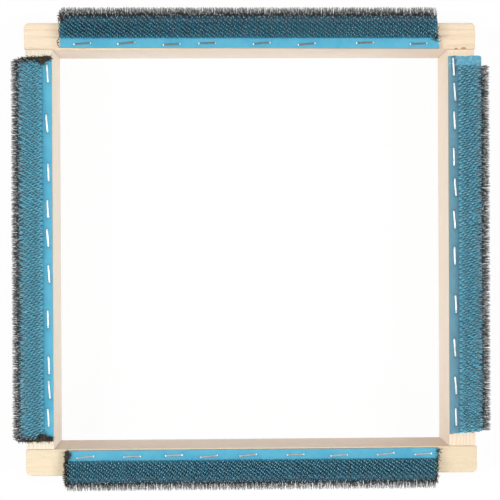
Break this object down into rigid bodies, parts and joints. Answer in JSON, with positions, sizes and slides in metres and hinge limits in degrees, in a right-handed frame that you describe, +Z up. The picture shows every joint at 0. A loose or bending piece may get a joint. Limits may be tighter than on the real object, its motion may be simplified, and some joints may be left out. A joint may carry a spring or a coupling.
{
  "type": "punch needle frame",
  "caption": "Square wooden punch needle frame with rubber-backed wire gripper strips stapled over the outer edges of its bars, leaving the corners bare.",
  "frame": {"origin": "on the floor, under the middle of the square frame", "axes": "+Z up out of the working face that carries the wires, +Y towards the top rail, +X towards the right stile"},
  "size_m": [0.3388, 0.3404, 0.0474],
  "materials": {
    "pine": "bare planed softwood",
    "dowel_wood": "bare hardwood",
    "gripper": "matt rubber foundation set with dark steel wires",
    "staple_steel": "bright galvanised wire"
  },
  "bodies": {
    "root": {"bottom_rail": "pine", "dowel_bottom_left_lower": "dowel_wood", "dowel_bottom_left_upper": "dowel_wood", "dowel_bottom_right_lower": "dowel_wood", "dowel_bottom_right_upper": "dowel_wood", "dowel_top_left_lower": "dowel_wood", "dowel_top_left_upper": "dowel_wood", "dowel_top_right_lower": "dowel_wood", "dowel_top_right_upper": "dowel_wood", "gripper_strip_bottom": "gripper", "gripper_strip_left": "gripper", "gripper_strip_right": "gripper", "gripper_strip_top": "gripper", "left_stile": "pine", "right_stile": "pine", "staple_bottom_01": "staple_steel", "staple_bottom_02": "staple_steel", "staple_bottom_03": "staple_steel", "staple_bottom_04": "staple_steel", "staple_bottom_05": "staple_steel", "staple_bottom_06": "staple_steel", "staple_bottom_07": "staple_steel", "staple_bottom_08": "staple_steel", "staple_bottom_09": "staple_steel", "staple_left_01": "staple_steel", "staple_left_02": "staple_steel", "staple_left_03": "staple_steel", "staple_left_04": "staple_steel", "staple_left_05": "staple_steel", "staple_left_06": "staple_steel", "staple_left_07": "staple_steel", "staple_left_08": "staple_steel", "staple_left_09": "staple_steel", "staple_left_10": "staple_steel", "staple_right_01": "staple_steel", "staple_right_02": "staple_steel", "staple_right_03": "staple_steel", "staple_right_04": "staple_steel", "staple_right_05": "staple_steel", "staple_right_06": "staple_steel", "staple_right_07": "staple_steel", "staple_right_08": "staple_steel", "staple_right_09": "staple_steel", "staple_right_10": "staple_steel", "staple_right_11": "staple_steel", "staple_top_01": "staple_steel", "staple_top_02": "staple_steel", "staple_top_03": "staple_steel", "staple_top_04": "staple_steel", "staple_top_05": "staple_steel", "staple_top_06": "staple_steel", "staple_top_07": "staple_steel", "staple_top_08": "staple_steel", "top_rail": "pine"}
  },
  "joints": []
}
